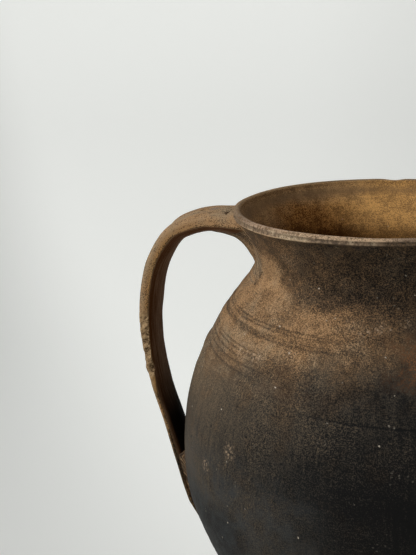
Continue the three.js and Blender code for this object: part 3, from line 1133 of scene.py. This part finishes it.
# %% Node group: from soot to colour and roughness, from bare tan clay to black
SOOT_RAMP = [
    (0.0, (0.42, 0.28, 0.158)),
    (0.25, (0.215, 0.138, 0.077)),
    (0.5, (0.105, 0.073, 0.046)),
    (0.75, (0.044, 0.034, 0.025)),
    (1.0, (0.010, 0.009, 0.008)),
]
SPECK_COLOUR = (0.78, 0.68, 0.54, 1)
ASH_AND_SHEEN_COLOUR = (0.068, 0.073, 0.074, 1)
RUST_COLOUR = (0.23, 0.105, 0.045, 1)
WARM_TINT = (1.09, 0.985, 0.87, 1)
COOL_TINT = (0.92, 1.015, 1.11, 1)
UNEVENNESS = {"Mottle": 0.34, "Grain": 0.56, "Streak": 0.28, "Stroke": 0.34}
GRAIN_MARKS = [*UNEVENNESS, "Speck", "Pit", "Tint"]


def make_sooted_clay():
    g, given = new_group("sooted_clay", "NodeSocketFloat", "Soot", "Ash", "Rust", *GRAIN_MARKS)
    soot = g.uneven(given["Soot"], *[(given[name], weight) for name, weight in UNEVENNESS.items()])
    # Pits are painted darker. This is painted shade.
    soot = g.plus(soot, (given["Pit"], 0.25))
    ramp = g.add("ShaderNodeValToRGB", {0: soot})
    stops = ramp.color_ramp.elements
    while len(stops) < len(SOOT_RAMP):
        stops.new(0.5)
    for stop, (position, colour) in zip(stops, SOOT_RAMP):
        stop.position = position
        stop.color = (*colour, 1)
    colour = g.mixed(1.0, ramp.outputs[0], g.mixed(given["Tint"], COOL_TINT, WARM_TINT), "MULTIPLY")
    patchy = g.eased(given["Mottle"], 0.4, 0.62)
    rusty = g.times(given["Rust"], patchy, g.eased(given["Grain"], 0.35, 0.75))
    colour = g.mixed(rusty, colour, RUST_COLOUR)
    # Blue-grey ash, partly painted sheen.
    colour = g.mixed(g.times(given["Ash"], patchy), colour, ASH_AND_SHEEN_COLOUR)
    colour = g.mixed(g.times(given["Speck"], 0.9), colour, SPECK_COLOUR)
    return g.put_out(Color=colour, Roughness=g.eased(soot, 0.2, 1.0, 0.85, 0.62))


sooted_clay = make_sooted_clay()

# %% Helpers: a material that is ready but for its wires, and a clay's colour, roughness and bump
BUMP_DISTANCE = 1 * mm
SPECULAR = 0.05


def begin_material(name):
    material = bpy.data.materials.new(name)
    material.use_nodes = True
    t = Patterns(material.node_tree)
    place = t.add("ShaderNodeTexCoord").outputs["Object"]
    return material, t, place, material.node_tree.nodes["Principled BSDF"].inputs


def finish_clay(t, shader, colour, roughness, height, strength):
    bump = t.add("ShaderNodeBump", {"Height": height, "Distance": BUMP_DISTANCE, "Strength": strength})
    t.set(shader["Base Color"], colour)
    t.set(shader["Roughness"], roughness)
    t.set(shader["Normal"], bump.outputs[0])
    t.set(shader["Specular IOR Level"], SPECULAR)


def sooted(t, grain, **own):
    """The sooted clay, with the grain's marks but for those given."""
    return t.group(sooted_clay, **{**{name: grain[name] for name in GRAIN_MARKS}, **own})


# %% [markdown]
# The body has three skins. Outside lie the clouds of smoke, inside the ochre of clay that the smoke
# spared, stained towards the handle, and between them a rim that hands have rubbed pale. They could be
# three materials, but then hard edges would part them, so one material blends them by the numbers that
# the points keep.

# %% The body's material: ochre inside, with a stain, a veil of soot and painted shade deeper down
INSIDE_PALE = (0.665, 0.365, 0.12, 1)
INSIDE_DARK = (0.285, 0.157, 0.058, 1)
STAIN_PALE = (0.35, 0.165, 0.048, 1)
STAIN_DARK = (0.075, 0.029, 0.006, 1)
VEIL_PALE = (0.41, 0.265, 0.135, 1)
VEIL_DARK = (0.2, 0.128, 0.065, 1)
CHIP_COLOUR = (0.72, 0.56, 0.37, 1)


def make_lining(t, place, grain, clouds):
    coarse = t.noise(place, 110, 8, 0.7)
    patches = t.uneven(0.5, (coarse, 1.6), (grain["Grain"], 0.85), (grain["Lines"], 0.4))
    # Within the stain the lining is painted darker deeper inside. This is painted shade.
    deep = t.eased(t.apart(place)[2], HEIGHT - 45 * mm, HEIGHT - 5 * mm, -0.35, 0.0)
    shade = t.eased(t.plus(patches, (deep, clouds["Stain"])), 0.25, 0.75)
    lining = t.mixed(shade, INSIDE_DARK, INSIDE_PALE)
    lining = t.mixed(clouds["Stain"], lining, t.mixed(shade, STAIN_DARK, STAIN_PALE))
    lining = t.mixed(clouds["Veil"], lining, t.mixed(shade, VEIL_DARK, VEIL_PALE))
    # Pits inside are painted dark. This is painted shade.
    lining = t.mixed(t.times(grain["Pit"], 0.5), lining, STAIN_DARK)
    return t.mixed(t.times(grain["Speck"], 0.5), lining, CHIP_COLOUR)


# %% The body's material: a rim that is rubbed pale, golden on its near edge and chipped
RIM_BAND_PALE = (0.35, 0.245, 0.155, 1)
RIM_BAND_DARK = (0.125, 0.088, 0.06, 1)
WORN_COLOUR = (0.46, 0.325, 0.22, 1)
WORN_FAR_COLOUR = (0.42, 0.285, 0.15, 1)
WORN_END_COLOUR = (0.26, 0.185, 0.125, 1)
PALE_LIP_COLOUR = (0.62, 0.43, 0.27, 1)
EDGE_GOLD = (0.52, 0.34, 0.19, 1)


def make_worn_rim(t, place, grain, clouds, wall):
    x, y, _ = t.apart(place)
    mottles = t.eased(t.noise(place, 700, 4, 0.62), 0.39, 0.61)
    band = t.times(t.attribute("rim_band"), t.eased(x, -0.012, 0.004, 0.85, 0.25))
    rim = t.mixed(band, wall, t.mixed(mottles, RIM_BAND_DARK, RIM_BAND_PALE))

    rubs = t.uneven(
        0.5,
        (grain["Lines"], 2.2),
        (grain["Grain"], 1.1),
        (mottles, t.eased(x, -0.062, -0.04, 1.0, 0.45)),
    )
    arris = t.attribute("worn_arris")
    far = t.eased(y, -0.04, 0.03)
    wear = t.times(
        t.largest(t.attribute("worn_lip"), t.times(arris, t.eased(clouds["Soot"], 0.7, 0.45))),
        t.eased(rubs, 0.1, 0.75, 0.15, 1.0),
        t.between(far, 1.0, 0.6),
        t.eased(x, -0.001, 0.01, 1.0, 0.65),
    )
    pale = t.times(t.eased(x, -0.058, -0.036), t.eased(x, 0.008, -0.006))
    lip_colour = t.mixed(pale, WORN_COLOUR, PALE_LIP_COLOUR)
    lip_colour = t.mixed(t.eased(x, -0.062, -0.074), lip_colour, WORN_END_COLOUR)
    rim = t.mixed(wear, rim, t.mixed(far, lip_colour, WORN_FAR_COLOUR))

    golden = t.times(
        t.eased(arris, 0.15, 0.6),
        t.eased(x, -0.03, -0.046),
        t.eased(rubs, 0.1, 0.75, 0.3, 0.9),
        t.eased(y, -0.03, -0.045),
    )
    rim = t.mixed(golden, rim, EDGE_GOLD)
    chipped = t.times(t.attribute("chip"), t.eased(grain["Grain"], 0.15, 0.6))
    return t.mixed(chipped, rim, CHIP_COLOUR)


# %% The body's material: smoke clouds outside, and all three skins together
SCUFF_COLOUR = (0.56, 0.4, 0.26, 1)
LINE_SHADE_WEIGHT = 0.38


def make_smoked_clay():
    material, t, place, shader = begin_material("smoked_clay")
    grain = t.group(clay_grain, Place=place, Turned=t.attribute("wheel_place", "Vector"))
    clouds = t.group(smoke_clouds, Place=place)
    low_down = t.eased(t.apart(place)[2], HEIGHT - 82 * mm, HEIGHT - 125 * mm)
    calm = t.eased(clouds["Warmth"], -0.6, 0.1, 0.55, 1.0)
    wall = sooted(
        t,
        grain,
        # The painted shade of the cut lines is added to the soot number.
        Soot=t.plus(clouds["Soot"], (t.attribute("line"), LINE_SHADE_WEIGHT)),
        Ash=clouds["Ash"],
        Rust=clouds["Rust"],
        Mottle=t.uneven(0.5, (grain["Mottle"], calm)),
        Grain=t.uneven(0.5, (grain["Grain"], t.between(low_down, 1.0, 0.6))),
        Stroke=t.uneven(0.5, (grain["Stroke"], t.between(low_down, 1.0, 2.2))),
        Tint=t.figure("ADD", grain["Tint"], clouds["Warmth"]),
    )
    crumbs = t.eased(t.noise(place, 900, 3, 0.6), 0.5, 0.66, 0.0, 0.55)
    flakes = t.largest(t.specks(t.ragged(place), 640, 0.48, 0.5), crumbs)
    flakes = t.times(flakes, t.eased(t.attribute("scuff"), 0.05, 0.9))
    scuffed = t.mixed(flakes, wall["Color"], SCUFF_COLOUR)
    outside = make_worn_rim(t, place, grain, clouds, scuffed)
    colour = t.mixed(t.attribute("inside"), outside, make_lining(t, place, grain, clouds))
    finish_clay(t, shader, colour, wall["Roughness"], grain["Height"], 0.6)
    return material


body.data.materials.append(make_smoked_clay())
print("smoked clay on the body")

# %% [markdown]
# The strap was pulled lengthwise, so its marks run along it: fine dark streaks on a golden back, a brown
# face that the fingers hold, and soot where the tail lies close to the belly, which is partly painted
# shade.
# The streaks are noise that is squeezed along the straight rod, and it follows the bend because each point
# keeps its place there.

# %% The strap's material: golden on its near edge, painted highlight and shade on its back, painted shade in the trough, soot and painted shade towards its tail
CRUMB_PALE = (0.46, 0.31, 0.165, 1)
CRUMB_DARK = (0.1, 0.058, 0.028, 1)
GOLDEN_TINT = (1.0, 0.8, 0.52, 1)
STRAP_DARKEST = (0.06, 0.032, 0.014, 1)
STRAP_ASH = (0.2, 0.16, 0.135, 1)
PIT_SHADE_COLOUR = (0.028, 0.01, 0.004, 1)
GRIP_PALE = (0.3, 0.19, 0.12, 1)
GRIP_DARK = (0.1, 0.038, 0.011, 1)
# GAP_BLACK is painted shadow in the gap behind the strap's tail.
GAP_BLACK = (0.004, 0.002, 0.001, 1)
FIBRE_WEIGHT = 3.0


def make_strap_clay():
    material, t, place, shader = begin_material("strap_clay")
    rod_place = t.attribute("rod_place", "Vector")
    grain = t.group(clay_grain, Place=place, Turned=rod_place)
    thick_fibre = t.noise(rod_place, 420, 4, 0.6, (1, 1, 0.07))
    fibre = t.between(0.6, thick_fibre, t.noise(rod_place, 1400, 4, 0.6, (1, 1, 0.05)))
    sideways, _, down_strap = t.apart(rod_place)
    side = t.attribute("side")
    chip = t.attribute("chip")
    pit = t.attribute("pit")
    from_edge = t.attribute("from_edge")

    on_upper = t.eased(down_strap, 0.1, 0.07)
    soot = t.plus(
        # Soot towards the tail. This is partly painted shade where the tail lies close to the belly.
        t.eased(down_strap, 0.158, 0.195, 0.03, 0.5),
        # Painted shade on the far half of the back.
        (t.times(t.eased(sideways, -0.002, 0.01), on_upper), 0.04),
        # A painted highlight inside the near edge.
        (t.times(t.eased(side, 0.03, 0.35), t.eased(side, 0.97, 0.75), on_upper), -0.15),
        # Painted shade at the near edge, which widens lower down.
        (t.eased(side, t.eased(down_strap, 0.085, 0.12, 0.85, 0.25), 1.0), 0.52),
    )
    soot = t.uneven(soot, (fibre, FIBRE_WEIGHT))
    clay = sooted(t, grain, Soot=soot, Grain=t.uneven(0.5, (grain["Grain"], 1.8)))
    colour = t.mixed(t.eased(down_strap, 0.17, 0.15), clay["Color"], STRAP_DARKEST, "LIGHTEN")
    colour = t.mixed(t.times(t.attribute("ash"), 0.75), colour, STRAP_ASH)
    colour = t.mixed(t.times(chip, 0.6), colour, CRUMB_PALE)
    # Pits and cracks are painted near black. This is painted shade.
    colour = t.mixed(t.eased(pit, 0.15, 0.6), colour, PIT_SHADE_COLOUR)
    golden = t.times(t.eased(side, 0.2, 1.0), t.eased(down_strap, 0.02, 0.06, 0.2, 0.9))
    colour = t.mixed(golden, colour, GOLDEN_TINT, "MULTIPLY")

    crumbs = t.uneven(t.noise(place, 650, 3, 0.6), (grain["Grain"], 0.5))
    # Crumbs are painted darker in pits, which is painted shade, and paler on chips.
    crumbs = t.plus(crumbs, (pit, -0.28), (chip, 0.15))
    crumb_colour = t.mixed(t.eased(crumbs, 0.25, 0.65), CRUMB_DARK, CRUMB_PALE)
    crumbled = t.uneven(t.attribute("crumbled"), (grain["Mottle"], 1.2))
    colour = t.mixed(t.eased(crumbled, 0.35, 0.75), colour, crumb_colour)

    # The grip is painted dark at its edges and paler in the middle. This is painted shade.
    grip_shade = t.eased(from_edge, 0.05, 0.85, 0.05, 0.7)
    grip_shade = t.uneven(grip_shade, (fibre, FIBRE_WEIGHT), (grain["Grain"], 0.25))
    # Low on the strap, a paler line along the grip's near edge is a painted highlight.
    edge_highlight = t.times(t.eased(down_strap, 0.125, 0.14), t.eased(from_edge, 0.22, 0.03))
    grip_shade_colour = t.mixed(t.plus(grip_shade, (edge_highlight, 0.45)), GRIP_DARK, GRIP_PALE)
    # Painted shadow, near black, in the gap where the tail lies against the belly.
    deep = t.times(t.eased(down_strap, 0.13, 0.168), t.eased(from_edge, 0.05, 0.25))
    grip_shade_colour = t.mixed(deep, grip_shade_colour, GAP_BLACK)
    colour = t.mixed(t.attribute("grip"), colour, grip_shade_colour)
    finish_clay(t, shader, colour, clay["Roughness"], t.plus(grain["Height"], (fibre, 0.35)), 0.6)
    return material


strap.data.materials.append(make_strap_clay())
print("strap clay on the handle")

# %% [markdown]
# The luting took the same smoke as the wall, but the thumb left drag marks that slant away from the
# strap. The wall's clouds are used again, lighter, with slanting streaks over them.

# %% The luting's material: the wall's smoke, browner where the thumb dragged it
DRAG_WEIGHT = 4.0


def make_luting_clay():
    material, t, place, shader = begin_material("luting_clay")
    grain = t.group(clay_grain, Place=place, Turned=place)
    clouds = t.group(smoke_clouds, Place=place)
    drags = t.noise(t.attribute("drag_place", "Vector"), 50, 6, 0.66, (16, 1, 1))
    soot = t.uneven(t.plus(0.14, (clouds["Soot"], 0.6)), (drags, DRAG_WEIGHT))
    clay = sooted(t, grain, Soot=soot, Rust=0.2)
    height = t.plus(grain["Height"], (drags, 0.8))
    finish_clay(t, shader, clay["Color"], clay["Roughness"], height, 0.7)
    return material


luting_clay = make_luting_clay()
wad.data.materials.append(luting_clay)
smear.data.materials.append(luting_clay)
print("luting clay on the wad and the smear")

# %% [markdown]
# The paper is plain and pale. The lamp and the room alone leave it greyer than paper looks, and more
# light would bleach the clay, so the camera's rays, and those of reflections, see it glow a little, more
# at the back than in front. The jug's shadow still falls on it, because only some of its tone is glow.
# In the same way the room lights the clay weakly and evenly, but looks bright past the paper's edge.

# %% The paper's material, and the light of the room
PAPER_COLOUR = (0.78, 0.792, 0.765, 1)
PAPER_ROUGHNESS = 0.9
PAPER_LIFT = 0.42
ROOM_COLOUR = (1, 1, 1, 1)
ROOM_LEVEL = 0.2
BACKDROP_LEVEL = 0.72


def seen(t):
    """1 for the rays of the camera and of reflections, 0 for the light that falls on the clay."""
    rays = t.add("ShaderNodeLightPath").outputs
    return t.largest(rays["Is Camera Ray"], rays["Is Glossy Ray"])


def make_paper():
    material, t, place, shader = begin_material("paper")
    x, y, _ = t.apart(place)
    lift = t.eased(t.plus(y, (x, 1.6)), -0.5, 0.1, 0.0, PAPER_LIFT)
    lift = t.plus(lift, (t.eased(y, 1.1, 1.45), 0.1), (t.eased(x, -0.2, 0.1), -0.06))
    t.set(shader["Base Color"], PAPER_COLOUR)
    t.set(shader["Roughness"], PAPER_ROUGHNESS)
    t.set(shader["Emission Color"], PAPER_COLOUR)
    t.set(shader["Emission Strength"], t.times(seen(t), lift))
    return material


paper.data.materials.append(make_paper())
world = bpy.data.worlds.new("room")
bpy.context.scene.world = world
world.use_nodes = True
room = Wires(world.node_tree)
background = world.node_tree.nodes["Background"].inputs
room.set(background["Color"], ROOM_COLOUR)
room.set(background["Strength"], room.between(seen(room), ROOM_LEVEL, BACKDROP_LEVEL))
print(f"paper, and a room of level {ROOM_LEVEL} that looks {BACKDROP_LEVEL} bright past its edge")

# %% [markdown]
# Firing made one rigid body of the four pieces, so all of them ride on the same one. Each stands in for
# its own solid.

# %% Each piece rides on the one body and stands for its solid
for piece, node, slot in [
    (body, "thrown_body", "smoked_clay"),
    (strap, "strap_handle", "strap_clay"),
    (wad, "upper_luting", "luting_clay"),
    (smear, "lower_luting", "luting_clay"),
]:
    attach(piece, "root")
    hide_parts(node)
    print(f"{piece.name} stands for {node}")
